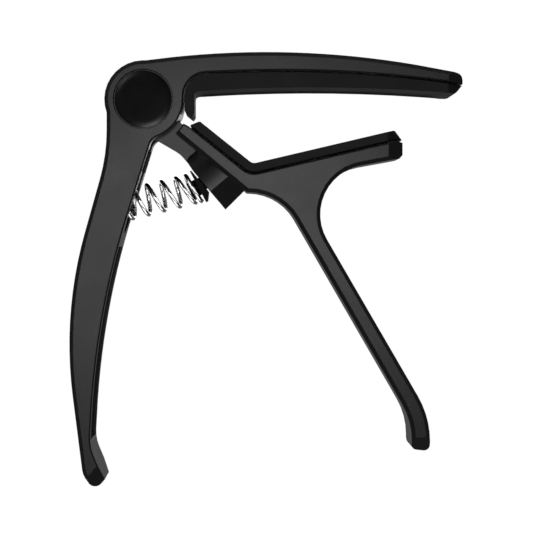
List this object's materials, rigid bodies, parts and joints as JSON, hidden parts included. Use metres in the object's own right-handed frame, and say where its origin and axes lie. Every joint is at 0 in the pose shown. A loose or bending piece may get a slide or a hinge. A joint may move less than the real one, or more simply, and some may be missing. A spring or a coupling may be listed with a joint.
{
  "type": "guitar capo",
  "caption": "Spring-loaded one-hand guitar capo: arched top bar with a soft pad, padded V-shaped lower jaw, round pivot hub, thumb handle and finger leg.",
  "frame": {"origin": "middle of the bottom of the closed capo's box, straight below the box's middle", "axes": "+Y along the pivot, from the front flank to the rear flank; +X from the pivot along the top bar to its free end; +Z from the handles' ends up to the top bar"},
  "size_m": [0.087, 0.016, 0.096],
  "materials": {
    "paint": "satin black powder coat on a die casting",
    "silicone": "matte black silicone",
    "steel": "turned steel",
    "brass": "turned brass",
    "nylon": "moulded black nylon",
    "gloss_cap": "clear-domed gloss black",
    "chrome": "chrome-plated spring wire"
  },
  "bodies": {
    "upper": {"upper_arm": "paint", "upper_pad": "silicone", "pivot_barrel": "steel", "pivot_screw": "steel", "front_thrust_washer": "nylon", "rear_thrust_washer": "nylon", "front_hub_cap": "gloss_cap", "rear_hub_cap": "gloss_cap", "spring": "chrome"},
    "lower": {"lower_arm": "paint", "lower_pad": "silicone", "pivot_bush": "brass", "spring_seat": "nylon"}
  },
  "joints": [
    {"name": "jaw_hinge", "type": "hinge", "parent": "upper", "child": "lower", "pos_m": [-0.02721, 0, 0.0856], "axis": [0, 1, 0], "range_deg": [0, 24], "stiffness_Nm_per_rad": 1.5, "springref_deg": -1.15, "deforming": ["spring"]}
  ]
}
